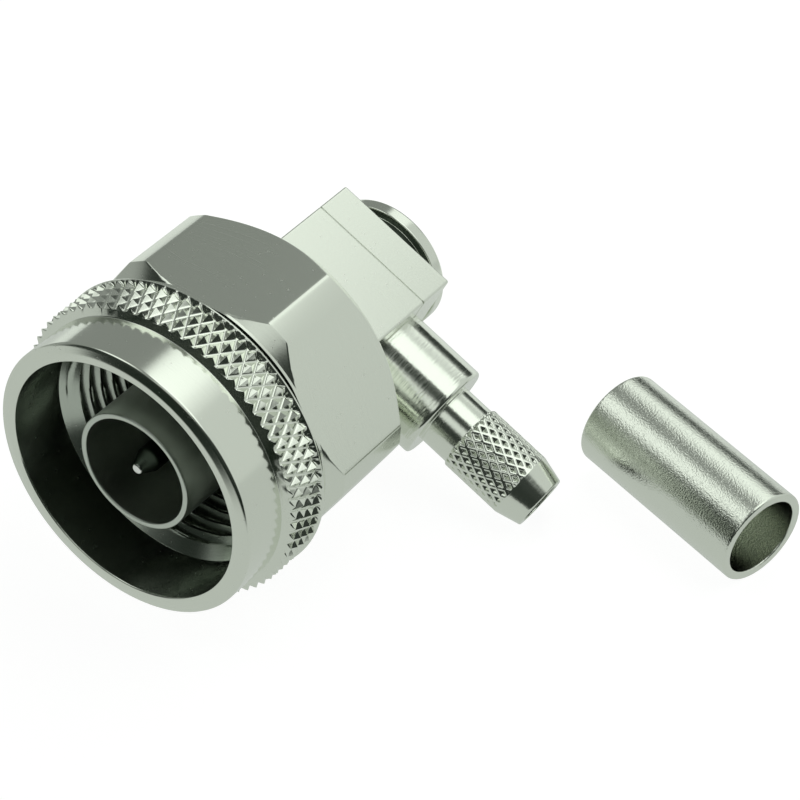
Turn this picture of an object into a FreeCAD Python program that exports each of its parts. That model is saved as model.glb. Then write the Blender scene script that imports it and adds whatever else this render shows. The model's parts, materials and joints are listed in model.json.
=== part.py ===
import FreeCAD, Part
import math
import os

# Right-angle coaxial plug with a threaded coupling nut, a square elbow block, a knurled crimp
# stem, and the crimp ferrule lying beside it. All lengths are in millimetres.
# Each piece is built in the plug's own frame: origin at the centre of the nut's mouth, +Y into
# the plug along the nut's axis, +X along the cable stem, +Z out of the elbow block's top face.
# At the end the plug is tipped into the pose in which it comes to rest on a flat surface.

# Clearances
running_clearance = 0.08
seat_clearance = 0.01
loose_clearance = 0.10

# Coupling nut, inside: the thread sets the other radii
thread_crest_radius = 7.40
thread_length = 4.60
mouth_step = 0.90
mouth_depth = 4.10
relief_step = 0.65
relief_length = 1.80

# Coupling nut, outside
front_ring_width = 0.47
lip_rise = 0.69
lip_length = 0.19
band_length = 3.15
knurl_rise = 0.83
knurl_face_length = 0.26
knurl_length = 2.89
knurl_rim_length = 0.49
knurl_chamfer = 0.30
knurl_depth = 0.30
knurl_below_rim = 0.03
knurl_root = 0.10
knurl_cells = 72
knurl_rows = 3
undercut_step = 0.46
undercut_length = 0.60
neck_step = 0.82
neck_length = 0.80
hex_wall = 1.45
hex_corner_cut = 0.42
hex_length = 5.80
rear_face_step = 0.25
edge_rounding = 0.12

# Contact body: the outer contact's sleeve, and the hub that carries the nut
sleeve_radius = 4.075
sleeve_wall = 0.38
sleeve_setback = 1.165
sleeve_root_rise = 0.30
gasket_thickness = 1.0
gasket_width = 1.825
hub_proud = 0.34
spigot_step = 0.605
spigot_length = 2.80

# Snap ring, part of it in the hub's groove and part in the nut's
ring_in_hub = 0.48
ring_in_nut = 0.66
ring_width = 0.80
ring_gap = 1.6
ring_land = 0.75

# Centre pin and the bead that holds it
pin_radius = 0.83
pin_tip_radius = 0.32
pin_tip_setback = 0.28
pin_tip_length = 1.15
pin_shoulder_rise = 0.69
pin_shoulder_length = 2.67
pin_shoulder_sunk = 0.80
pin_tail_step = 0.37
pin_tail_gap = 0.63
wire_hole_radius = 0.50
bead_length = 3.18
bead_tail_gap = 3.00

# Elbow block
chamber_step = 0.495
block_corner_reach = 0.2064
stem_behind_hub = 2.05
seam_setback = 2.82
seam_width = 0.12
seam_depth = 0.06
block_edge_chamfer = 0.08
rear_insulator_thickness = 1.10

# Rear cap
cap_spigot_step = 0.50
cap_spigot_length = 1.50
cap_neck_step = 0.30
cap_neck_length = 0.80
cap_flange_step = 0.56
cap_flange_length = 0.90
cap_rounding = 0.15

# Crimp stem
stem_radius = 3.40
stem_length = 5.46
stem_rounding = 0.30
side_bore_step = 0.50
cable_bore_radius = 1.55
tube_wall = 0.61
tube_length = 2.19
stem_knurl_rise = 0.16
stem_knurl_length = 4.45
nose_step = 0.28
nose_length = 1.72
stem_insulator_step = 0.70
stem_insulator_length = 2.80

# Crimp ferrule, and how far its open end lies from the stem's tip on the surface
braid_space = 0.33
ferrule_wall = 0.60
ferrule_length = 13.3
ferrule_rounding = 0.10
ferrule_ahead = 13.5
ferrule_behind = 4.4
ferrule_turn = -15.5

# Radii worked out from the sizes above
mouth_radius = thread_crest_radius + mouth_step
relief_radius = thread_crest_radius + relief_step
front_ring_radius = mouth_radius + front_ring_width
band_radius = front_ring_radius + lip_rise
rim_radius = band_radius + knurl_rise
knurl_crest_radius = rim_radius - knurl_below_rim
knurl_valley_radius = knurl_crest_radius - knurl_depth
knurl_root_radius = knurl_valley_radius - knurl_root
hex_flat_radius = relief_radius + hex_wall
hex_corner_radius = hex_flat_radius / math.cos(math.pi / 6) - hex_corner_cut
neck_radius = hex_corner_radius - neck_step
undercut_radius = neck_radius - undercut_step
rear_face_radius = hex_flat_radius - rear_face_step
sleeve_bore_radius = sleeve_radius - sleeve_wall
sleeve_root_radius = sleeve_radius + sleeve_root_rise
spigot_radius = sleeve_bore_radius + spigot_step
hub_radius = sleeve_root_radius + gasket_width
ring_inner_radius = hub_radius - ring_in_hub
ring_outer_radius = hub_radius + ring_in_nut
pin_shoulder_radius = pin_radius + pin_shoulder_rise
pin_tail_radius = pin_shoulder_radius - pin_tail_step
chamber_radius = sleeve_bore_radius - chamber_step
block_width = math.sqrt(2) * (hub_radius + block_corner_reach)
cap_spigot_radius = chamber_radius + cap_spigot_step
cap_neck_radius = cap_spigot_radius + cap_neck_step
cap_flange_radius = cap_neck_radius + cap_flange_step
side_bore_radius = stem_radius - side_bore_step
stem_insulator_radius = side_bore_radius - stem_insulator_step
tube_radius = cable_bore_radius + tube_wall
stem_knurl_radius = tube_radius + stem_knurl_rise
nose_radius = tube_radius - nose_step
ferrule_bore_radius = stem_knurl_radius + braid_space
ferrule_radius = ferrule_bore_radius + ferrule_wall

# Places along the nut's axis
knurl_front = lip_length + band_length + knurl_face_length
knurl_rear = knurl_front + knurl_length
rim_front = knurl_rear - knurl_rim_length
neck_rear = knurl_rear + neck_length
hex_front = neck_rear + neck_step
hex_rear = hex_front + hex_length
nut_rear = hex_rear + hex_corner_radius - rear_face_radius
thread_start = mouth_depth + mouth_step
relief_front = thread_start + thread_length
relief_rear = relief_front + relief_length
hub_front = relief_front + gasket_thickness
hub_rear = nut_rear + hub_proud
groove_front = relief_rear + ring_land
groove_rear = groove_front + ring_width + 2 * loose_clearance
spigot_front = hub_rear - spigot_length
insulator_front = spigot_front - bead_length
cable_axis_depth = hub_rear + stem_behind_hub + stem_radius
insulator_rear = cable_axis_depth - bead_tail_gap
block_rear = cable_axis_depth + block_width / 2
cap_spigot_front = block_rear - cap_spigot_length
rear_insulator_front = cap_spigot_front - rear_insulator_thickness

# Places along the cable stem
stem_end = block_width / 2 + stem_length
stem_knurl_start = stem_end + tube_length
stem_knurl_end = stem_knurl_start + stem_knurl_length
stem_tip = stem_knurl_end + nose_length
stem_insulator_end = chamber_radius + stem_insulator_length

X_AXIS = FreeCAD.Vector(1, 0, 0)
Y_AXIS = FreeCAD.Vector(0, 1, 0)
Z_AXIS = FreeCAD.Vector(0, 0, 1)
ORIGIN = FreeCAD.Vector(0, 0, 0)


def turned(corners):
    """Solid of revolution about the Y axis.

    Each corner is (radius, depth) or (radius, depth, rounding). A rounded corner is an arc
    tangent to both sides, limited to a little under half of the shorter side.
    """
    points = [FreeCAD.Vector(corner[0], corner[1], 0) for corner in corners]
    starts, ends, middles = [], [], []
    for index, corner in enumerate(corners):
        point = points[index]
        back = points[index - 1] - point
        ahead = points[(index + 1) % len(points)] - point
        rounding = corner[2] if len(corner) > 2 else 0.0
        if rounding == 0.0:
            starts.append(point)
            ends.append(point)
            middles.append(None)
            continue
        half_angle = back.getAngle(ahead) / 2
        reach = min(rounding / math.tan(half_angle), 0.45 * back.Length, 0.45 * ahead.Length)
        radius = reach * math.tan(half_angle)
        inward = (back.normalize() + ahead.normalize()).normalize()
        centre = point + inward * (radius / math.sin(half_angle))
        starts.append(point + back * reach)
        ends.append(point + ahead * reach)
        middles.append(centre - inward * radius)
    edges = []
    for index, middle in enumerate(middles):
        if middle is not None:
            edges.append(Part.Arc(starts[index], middle, ends[index]).toShape())
        following = starts[(index + 1) % len(starts)]
        edges.append(Part.LineSegment(ends[index], following).toShape())
    face = Part.Face(Part.Wire(edges))
    return face.revolve(ORIGIN, Y_AXIS, 360)


def along_stem(shape):
    """Turn a piece made about the Y axis so that its depth runs along the cable stem."""
    shape.rotate(ORIGIN, Z_AXIS, -90)
    shape.translate(Y_AXIS * cable_axis_depth)
    return shape


def rod(radius, front, rear):
    """Plain round bar on the nut's axis from depth front to depth rear."""
    return Part.makeCylinder(radius, rear - front, Y_AXIS * front, Y_AXIS)


def square_bar(width, front, rear):
    """Bar of square section on the nut's axis from depth front to depth rear."""
    corner = FreeCAD.Vector(-width / 2, front, -width / 2)
    return Part.makeBox(width, rear - front, width, corner)


def rest_angles():
    """Dip of the stem and lean of the nut, in radians, with the plug at rest.

    One flat of the hex lies downwards. The plug touches the surface with the knurled rim, the
    rear end of that flat and the tip of the crimp stem. The lean brings the first two level.
    The dip is then found by halving an interval until the stem's tip is level with them.
    """
    rim_depth = knurl_rear - knurl_chamfer
    flat_depth = hex_rear + hex_corner_radius - hex_flat_radius
    lean = math.atan2(rim_radius - hex_flat_radius, flat_depth - rim_depth)
    rim_height = -rim_depth * math.sin(lean) - rim_radius * math.cos(lean)
    low, high = 0.0, math.pi / 2
    for _ in range(50):
        dip = (low + high) / 2
        along = math.sin(dip) * math.cos(lean)
        tip_height = -stem_tip * along - cable_axis_depth * math.sin(lean)
        tip_height -= nose_radius * math.sqrt(1 - along * along)
        if tip_height > rim_height:
            low = dip
        else:
            high = dip
    return dip, lean, rim_height


def knurl():
    """Ring of small pyramids, as two crossing sets of slanting grooves leave them.

    Its points lie on a net with two steps to a cell round the rim, and a step to a row along it.
    Every second point is a crest, and the grooves run along the diagonals that join the others.
    """
    steps = 2 * knurl_cells
    net = []
    for row in range(knurl_rows + 1):
        depth = knurl_front + (rim_front - knurl_front) * row / knurl_rows
        ring = []
        for step in range(steps):
            radius = knurl_crest_radius if (row + step) % 2 else knurl_valley_radius
            turn = 2 * math.pi * step / steps
            ring.append(FreeCAD.Vector(radius * math.sin(turn), depth, radius * math.cos(turn)))
        net.append(ring)
    faces = []
    for row in range(knurl_rows):
        for step in range(steps):
            following = (step + 1) % steps
            near, far = net[row], net[row + 1]
            corners = [near[step], near[following], far[following], far[step]]
            if (row + step) % 2:
                corners = corners[1:] + corners[:1]
            first, crest, opposite, other_crest = corners
            for tip in (crest, other_crest):
                faces.append(Part.Face(Part.makePolygon([first, tip, opposite, first])))
    root = rod(knurl_root_radius, knurl_front, rim_front)
    for face in root.Faces:
        if face.Surface.TypeId == "Part::GeomCylinder":
            faces.append(face.reversed())
            continue
        ring = net[0] if face.CenterOfMass.y < (knurl_front + rim_front) / 2 else net[-1]
        outline = Part.makePolygon(ring + ring[:1])
        faces.append(Part.makeFace([outline, face.OuterWire], "Part::FaceMakerBullseye"))
    shell = Part.makeShell(faces)
    shell.sewShape()
    return Part.makeSolid(shell)


def coupling_nut(dip):
    """Nut with a plain band, a knurled rim and a hex, open at the front, threaded inside.

    A narrow undercut behind the rim gives the cutter that mills the hex a place to run out.
    """
    nut = turned([
        (mouth_radius, 0),
        (front_ring_radius, 0, edge_rounding),
        (band_radius, lip_length, edge_rounding),
        (band_radius, lip_length + band_length),
        (knurl_valley_radius - knurl_below_rim, knurl_front),
        (knurl_root_radius, knurl_front),
        (knurl_root_radius, rim_front),
        (rim_radius, rim_front),
        (rim_radius, knurl_rear - knurl_chamfer),
        (rim_radius - knurl_chamfer, knurl_rear),
        (undercut_radius, knurl_rear),
        (undercut_radius, knurl_rear + undercut_length),
        (neck_radius, knurl_rear + undercut_length),
        (neck_radius, neck_rear),
        (hex_corner_radius, hex_front),
        (hex_corner_radius, hex_rear),
        (rear_face_radius, nut_rear),
        (hub_radius + running_clearance, nut_rear),
        (hub_radius + running_clearance, groove_rear + loose_clearance),
        (ring_outer_radius + loose_clearance, groove_rear + loose_clearance),
        (ring_outer_radius + loose_clearance, groove_front - loose_clearance),
        (hub_radius + running_clearance, groove_front - loose_clearance),
        (hub_radius + running_clearance, relief_rear),
        (relief_radius, relief_rear),
        (relief_radius, relief_front),
        (thread_crest_radius, relief_front),
        (thread_crest_radius, thread_start),
        (mouth_radius, mouth_depth),
    ])
    # The six flats are milled from behind, up to the back of the knurled rim.
    mill_width = 2 * hex_corner_radius
    mill_length = nut_rear - knurl_rear
    for side in range(6):
        corner = FreeCAD.Vector(-mill_width / 2, knurl_rear, hex_flat_radius)
        mill = Part.makeBox(mill_width, mill_length, mill_width, corner)
        mill.rotate(ORIGIN, Y_AXIS, -math.degrees(dip) + 60 * side)
        nut = nut.cut(mill)
    return nut.fuse(knurl())


def contact_body():
    """Outer contact sleeve and hub in one turning, with the groove for the snap ring."""
    return turned([
        (sleeve_bore_radius, sleeve_setback, edge_rounding),
        (sleeve_radius, sleeve_setback, edge_rounding),
        (sleeve_radius, relief_front),
        (sleeve_root_radius, relief_front),
        (sleeve_root_radius, hub_front),
        (hub_radius, hub_front),
        (hub_radius, groove_front),
        (ring_inner_radius - loose_clearance, groove_front),
        (ring_inner_radius - loose_clearance, groove_rear),
        (hub_radius, groove_rear),
        (hub_radius, hub_rear, edge_rounding),
        (spigot_radius, hub_rear),
        (spigot_radius, spigot_front),
        (sleeve_bore_radius, spigot_front),
    ])


def snap_ring():
    """Open ring of flat section that sits half in the hub and half in the nut."""
    front = groove_front + loose_clearance
    ring = rod(ring_outer_radius, front, front + ring_width)
    ring = ring.cut(rod(ring_inner_radius, front, front + ring_width))
    gap_corner = FreeCAD.Vector(-ring_gap / 2, front, 0)
    gap = Part.makeBox(ring_gap, ring_width, ring_outer_radius, gap_corner)
    return ring.cut(gap)


def gasket():
    """Soft ring around the thicker foot of the sleeve, lying against the hub."""
    return turned([
        (sleeve_root_radius + seat_clearance, relief_front, edge_rounding),
        (hub_radius, relief_front, edge_rounding),
        (hub_radius, hub_front),
        (sleeve_root_radius + seat_clearance, hub_front),
    ])


def centre_pin():
    """Pin with a rounded point, a shoulder and a tail cross-drilled for the cable's wire."""
    tip = sleeve_setback + pin_tip_setback
    shoulder_front = insulator_front - pin_shoulder_length
    tail_rear = rear_insulator_front - pin_tail_gap
    pin = turned([
        (0, tip),
        (pin_tip_radius, tip, edge_rounding),
        (pin_radius, tip + pin_tip_length),
        (pin_radius, shoulder_front),
        (pin_shoulder_radius, shoulder_front, edge_rounding),
        (pin_shoulder_radius, insulator_front + pin_shoulder_sunk),
        (pin_tail_radius, insulator_front + pin_shoulder_sunk),
        (pin_tail_radius, tail_rear, edge_rounding),
        (0, tail_rear),
    ])
    wire_hole_start = FreeCAD.Vector(-2 * pin_tail_radius, cable_axis_depth, 0)
    wire_hole = Part.makeCylinder(wire_hole_radius, 4 * pin_tail_radius, wire_hole_start, X_AXIS)
    return pin.cut(wire_hole)


def front_insulator():
    """Stepped bead that centres the pin in the contact body and runs on into the block."""
    return turned([
        (pin_shoulder_radius + seat_clearance, insulator_front),
        (sleeve_bore_radius - seat_clearance, insulator_front),
        (sleeve_bore_radius - seat_clearance, spigot_front),
        (chamber_radius - seat_clearance, spigot_front),
        (chamber_radius - seat_clearance, insulator_rear),
        (pin_tail_radius + seat_clearance, insulator_rear),
        (pin_tail_radius + seat_clearance, insulator_front + pin_shoulder_sunk),
        (pin_shoulder_radius + seat_clearance, insulator_front + pin_shoulder_sunk),
    ])


def elbow_block():
    """Square block with a front spigot, a chamber through it and a side bore for the stem."""
    body = square_bar(block_width, hub_rear, block_rear)
    body = body.makeChamfer(block_edge_chamfer, body.Edges)
    seam_front = block_rear - seam_setback
    seam = square_bar(2 * block_width, seam_front, seam_front + seam_width)
    seam = seam.cut(square_bar(block_width - 2 * seam_depth, seam_front, seam_front + seam_width))
    body = body.cut(seam)
    body = body.fuse(rod(spigot_radius - seat_clearance, spigot_front, hub_rear + seam_width))
    body = body.cut(rod(chamber_radius, spigot_front, block_rear))
    body = body.cut(rod(cap_spigot_radius, cap_spigot_front, block_rear))
    side_bore_start = Y_AXIS * cable_axis_depth
    side_bore = Part.makeCylinder(side_bore_radius, block_width, side_bore_start, X_AXIS)
    return body.cut(side_bore)


def rear_insulator():
    """Disc that closes the chamber under the cap."""
    return rod(chamber_radius - seat_clearance, rear_insulator_front, cap_spigot_front)


def rear_cap():
    """Cap pressed into the back of the block, with a groove under its flange."""
    neck_end = block_rear + cap_neck_length
    cap_rear = neck_end + cap_flange_length
    return turned([
        (0, cap_spigot_front),
        (cap_spigot_radius - seat_clearance, cap_spigot_front, edge_rounding),
        (cap_spigot_radius - seat_clearance, block_rear),
        (cap_neck_radius, block_rear),
        (cap_neck_radius, neck_end),
        (cap_flange_radius, neck_end, edge_rounding),
        (cap_flange_radius, cap_rear, cap_rounding),
        (0, cap_rear),
    ])


def crimp_stem():
    """Round stem pressed into the block's side, ending in the knurled tube for the cable."""
    return along_stem(turned([
        (stem_insulator_radius, chamber_radius),
        (side_bore_radius - seat_clearance, chamber_radius),
        (side_bore_radius - seat_clearance, block_width / 2),
        (stem_radius, block_width / 2),
        (stem_radius, stem_end, stem_rounding),
        (tube_radius, stem_end, edge_rounding),
        (tube_radius, stem_knurl_start),
        (stem_knurl_radius, stem_knurl_start, edge_rounding),
        (stem_knurl_radius, stem_knurl_end),
        (nose_radius, stem_tip, edge_rounding),
        (cable_bore_radius, stem_tip),
        (cable_bore_radius, stem_insulator_end),
        (stem_insulator_radius, stem_insulator_end),
    ]))


def stem_insulator():
    """Short tube that keeps the cable's wire off the stem."""
    return along_stem(turned([
        (wire_hole_radius, chamber_radius),
        (stem_insulator_radius - seat_clearance, chamber_radius),
        (stem_insulator_radius - seat_clearance, stem_insulator_end),
        (wire_hole_radius, stem_insulator_end),
    ]))


def crimp_ferrule():
    """Plain tube with slightly rounded ends, made along Y with its open end at depth 0."""
    return turned([
        (ferrule_bore_radius, 0, ferrule_rounding),
        (ferrule_radius, 0, ferrule_rounding),
        (ferrule_radius, -ferrule_length, ferrule_rounding),
        (ferrule_bore_radius, -ferrule_length, ferrule_rounding),
    ])


dip, lean, floor_height = rest_angles()
rest_turn = FreeCAD.Rotation(X_AXIS, -math.degrees(lean)).multiply(
    FreeCAD.Rotation(Y_AXIS, math.degrees(dip)))
plug_place = FreeCAD.Placement(Z_AXIS * -floor_height, rest_turn)
tip_place = plug_place.multVec(FreeCAD.Vector(stem_tip, cable_axis_depth, 0))
ferrule_place = FreeCAD.Placement(
    FreeCAD.Vector(tip_place.x + ferrule_ahead, tip_place.y + ferrule_behind, ferrule_radius),
    FreeCAD.Rotation(Z_AXIS, ferrule_turn - 90))

nodes = {
    "coupling_nut": coupling_nut(dip),
    "contact_body": contact_body(),
    "snap_ring": snap_ring(),
    "gasket": gasket(),
    "centre_pin": centre_pin(),
    "front_insulator": front_insulator(),
    "elbow_block": elbow_block(),
    "rear_insulator": rear_insulator(),
    "rear_cap": rear_cap(),
    "crimp_stem": crimp_stem(),
    "stem_insulator": stem_insulator(),
}
for shape in nodes.values():
    shape.Placement = plug_place.multiply(shape.Placement)
nodes["crimp_ferrule"] = crimp_ferrule()
nodes["crimp_ferrule"].Placement = ferrule_place

# The origin is moved to the middle of the whole part's box, on the surface it rests on.
box = Part.makeCompound(list(nodes.values())).optimalBoundingBox(False)
to_middle = FreeCAD.Vector(-box.Center.x, -box.Center.y, 0)
os.makedirs("parts", exist_ok=True)
for name, shape in nodes.items():
    shape.translate(to_middle)
    shape.exportStep(f"parts/{name}.step")
    print(name, "solids", len(shape.Solids), "valid", shape.isValid(), "volume", round(shape.Volume, 2))
print("dip", round(math.degrees(dip), 3), "lean", round(math.degrees(lean), 3))
print("across flats", round(2 * hex_flat_radius, 3), "block", round(block_width, 3))
print("cable axis depth", round(cable_axis_depth, 3), "stem tip", round(stem_tip, 3), tip_place)
print("nut mouth centre", to_middle - Z_AXIS * floor_height)
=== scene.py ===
# %% [markdown]
# # A right-angle coaxial plug and its crimp ferrule
#
# The plug lies on a white surface as it would come to rest: on the knurled rim of its coupling
# nut, on one flat of the hex and on the tip of its crimp stem. The crimp ferrule lies beside it.
# Every visible piece is turned or milled metal, so each one is computed as a profile carried
# round an axis, and the tool marks, the plating and the light do the rest.

import json
import math

import bpy
import numpy as np
from mathutils import Matrix, Vector


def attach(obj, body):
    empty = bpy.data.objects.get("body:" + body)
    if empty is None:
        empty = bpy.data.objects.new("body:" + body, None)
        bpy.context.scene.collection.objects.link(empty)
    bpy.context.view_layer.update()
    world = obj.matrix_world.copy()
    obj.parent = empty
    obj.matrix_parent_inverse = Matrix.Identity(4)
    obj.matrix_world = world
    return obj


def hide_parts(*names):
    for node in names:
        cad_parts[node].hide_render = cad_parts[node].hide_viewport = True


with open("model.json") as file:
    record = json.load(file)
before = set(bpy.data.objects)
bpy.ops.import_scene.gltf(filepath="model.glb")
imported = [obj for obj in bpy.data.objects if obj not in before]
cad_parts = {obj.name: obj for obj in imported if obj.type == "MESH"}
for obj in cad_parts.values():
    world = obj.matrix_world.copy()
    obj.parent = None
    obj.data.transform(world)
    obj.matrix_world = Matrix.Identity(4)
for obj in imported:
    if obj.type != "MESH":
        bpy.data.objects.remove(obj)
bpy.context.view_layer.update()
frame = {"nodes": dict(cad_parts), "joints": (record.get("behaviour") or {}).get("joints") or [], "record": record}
print("nodes:", ", ".join(sorted(frame["nodes"])))

# %% [markdown]
# ## Axes
#
# The pieces are computed in millimetres in the plug's own frame: the origin is the centre of the
# nut's mouth, the first axis runs out along the cable stem, the second into the plug along the
# nut's axis, and the third out of the elbow block's top face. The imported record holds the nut's
# turning axis and the stem's axis in the resting pose, and those two fix the plug's frame.
# The ferrule has a frame of the same kind, with its second axis running in from its open end.

# %% Plug and ferrule frames from the record
mounts = {mount["name"]: mount for mount in frame["record"]["mounts"]}
spin = frame["joints"][0]
HUB_FRONT = 10.6
nut_axis = np.array(spin["axis"])
stem_axis = np.array(mounts["crimp_barrel"]["axis"])
plug_axes = np.array([stem_axis, nut_axis, np.cross(stem_axis, nut_axis)])
plug_origin = np.array(spin["pos_m"]) - 0.001 * HUB_FRONT * nut_axis
ferrule_axis = -np.array(mounts["ferrule_bore"]["axis"])
ferrule_axes = np.array([np.cross(ferrule_axis, (0, 0, 1)), ferrule_axis, (0, 0, 1)])
ferrule_origin = np.array(mounts["ferrule_bore"]["pos_m"]) - 0.001 * ferrule_axis
print("mouth centre, mm:", (plug_origin * 1000).round(3))
print("nut leans", round(math.degrees(math.asin(-nut_axis[2])), 2), "degrees")
print("stem dips", round(math.degrees(math.asin(-stem_axis[2])), 2), "degrees")

# %% [markdown]
# ## Camera
#
# The photograph was taken from above and in front, about 46 degrees up, with the nut's mouth
# turned to the lower left. The camera's place and lens come from a fit of the known sizes to the
# picture. Its place is given from the centre of the nut's mouth, in metres, and its turn as the
# directions of the picture's right side and top.

# %% Camera
CAMERA_FROM_MOUTH = (0.082737, -0.088299, 0.129464)
CAMERA_RIGHT = (0.81439, 0.58031, 0.00354)
CAMERA_UP = (-0.41652, 0.58027, 0.69986)
CAMERA_LENS = 133.387
camera_data = bpy.data.cameras.new("camera")
camera_data.lens = CAMERA_LENS
camera_data.sensor_width = 36.0
camera_data.clip_start = 0.01
camera_data.clip_end = 10.0
camera = bpy.data.objects.new("camera", camera_data)
bpy.context.scene.collection.objects.link(camera)
camera.location = Vector(plug_origin) + Vector(CAMERA_FROM_MOUTH)
camera_right = Vector(CAMERA_RIGHT)
camera_up = Vector(CAMERA_UP)
camera_back = camera_right.cross(camera_up)
camera_turn = Matrix((camera_right, camera_up, camera_back)).transposed()
camera.rotation_euler = camera_turn.to_euler()
bpy.context.scene.camera = camera
print("camera at", [round(value, 4) for value in camera.location])

# %% [markdown]
# ## Surfaces as grids
#
# A turned piece is a profile of (radius, depth) carried round the depth axis. Its corners are
# rounded first: the corner point is the middle control point of a short parabola between its two
# sides, and two more points just outside the parabola keep the shading of long flat sides clean.
# The grid is closed along the profile for a tube or ring, and ends in two points on the axis for
# a solid piece. Texture coordinates are the turn round the axis and the length along the profile
# in millimetres, so that tool marks follow the way the piece was turned.

# %% Grid tools
def rounded(corners, closed=True):
    """Profile points: each corner (radius, depth, rounding) becomes a parabola with five points.

    The parabola is (1 - t)^2 A + 2 t (1 - t) C + t^2 B, with C the corner and A and B the points
    at the rounding's reach along its two sides, and one point more lies beyond each of A and B.
    """
    corners = np.array(corners, float)
    point = corners[:, :2]
    back = np.roll(point, 1, axis=0) - point
    ahead = np.roll(point, -1, axis=0) - point
    back_length = np.linalg.norm(back, axis=1, keepdims=True)
    ahead_length = np.linalg.norm(ahead, axis=1, keepdims=True)
    reach = np.minimum(corners[:, 2:3], 0.3 * np.minimum(back_length, ahead_length))
    back_way = back / back_length
    ahead_way = ahead / ahead_length
    t = np.linspace(0, 1, 5)[None, :, None]
    start = (point + reach * back_way)[:, None]
    end = (point + reach * ahead_way)[:, None]
    arc = (1 - t) ** 2 * start + 2 * t * (1 - t) * point[:, None] + t ** 2 * end
    before = (point + 1.5 * reach * back_way)[:, None]
    after = (point + 1.5 * reach * ahead_way)[:, None]
    profile = np.concatenate([before, arc, after], axis=1)
    if closed:
        return profile.reshape(-1, 2)
    middle = profile[1:-1].reshape(-1, 2)
    return np.concatenate([point[:1], middle, point[-1:]])


def grid_faces(rows, columns, first=0, closed=False):
    """Quads of a grid whose rings close on themselves, and the (column, row) of each corner."""
    last = rows if closed else rows - 1
    row, column = np.meshgrid(np.arange(last), np.arange(columns), indexing="ij")
    corners = [(row, column), (row, column + 1), (row + 1, column + 1), (row + 1, column)]
    index = [first + (r % rows) * columns + c % columns for r, c in corners]
    steps = [np.stack([c, r], axis=-1) for r, c in corners]
    return np.stack(index, -1).reshape(-1, 4), np.stack(steps, 2).reshape(-1, 4, 2)


def stitch(low_turns, low_first, high_turns, high_first):
    """Triangles between two rings with different numbers of points, both sorted by turn.

    Each edge of a ring is joined to the point that the other ring has reached at that turn.
    """
    low_next = np.append(low_turns[1:], low_turns[0] + 2 * math.pi)
    high_next = np.append(high_turns[1:], high_turns[0] + 2 * math.pi)
    low = np.arange(len(low_turns))
    high = np.arange(len(high_turns))
    high_met = np.searchsorted(high_next, low_next, side="left") % len(high)
    low_met = np.searchsorted(low_next, high_next, side="right") % len(low)
    low_side = np.stack([low, np.roll(low, -1)], -1) + low_first
    high_side = np.stack([np.roll(high, -1), high], -1) + high_first
    lower = np.column_stack([low_side, high_met + high_first])
    upper = np.column_stack([high_side, low_met + low_first])
    return np.concatenate([lower, upper])


def around(radius, depth, turns):
    """Points at the given turns round the depth axis, as (across, depth, up) in millimetres."""
    radius, depth, turns = np.broadcast_arrays(radius, depth, turns)
    return np.stack([radius * np.sin(turns), depth, radius * np.cos(turns)], -1)


def add_piece(name, points, faces, uv, body, node, axes, origin, paint=None, sharp=50):
    """Mesh object from points in millimetres, placed in the row frame, with outward faces.

    The volume is the sum over the triangles of a . (b x c) / 6, and where it is negative the faces
    point inwards and are all turned round.
    """
    placed = origin + 0.001 * points.reshape(-1, 3) @ axes
    flat_uv = np.concatenate([group.reshape(-1, 2) for group in uv])
    fans = [group[:, [0, k, k + 1]] for group in faces for k in range(1, group.shape[1] - 1)]
    triangles = np.concatenate(fans)
    a, b, c = (placed[triangles[:, k]] - origin for k in range(3))
    volume = np.einsum("ij,ij->", a, np.cross(b, c)) / 6
    if volume < 0:
        faces = [group[:, ::-1] for group in faces]
        flat_uv = np.concatenate([group[:, ::-1].reshape(-1, 2) for group in uv])
    mesh = bpy.data.meshes.new(name)
    mesh.from_pydata(placed.tolist(), [], [face for group in faces for face in group.tolist()])
    layer = mesh.uv_layers.new(name="turned")
    layer.data.foreach_set("uv", flat_uv.astype(np.float32).ravel())
    if paint is not None:
        mesh.polygons.foreach_set("material_index", np.concatenate(paint).astype(np.int32))
    mesh.shade_smooth()
    mesh.set_sharp_from_angle(angle=math.radians(sharp))
    mesh.validate()
    piece = bpy.data.objects.new(name, mesh)
    bpy.context.scene.collection.objects.link(piece)
    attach(piece, body)
    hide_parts(node)
    print(name, len(triangles), "triangles,", round(abs(volume) * 1e9, 1), "mm3")
    return piece


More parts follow.
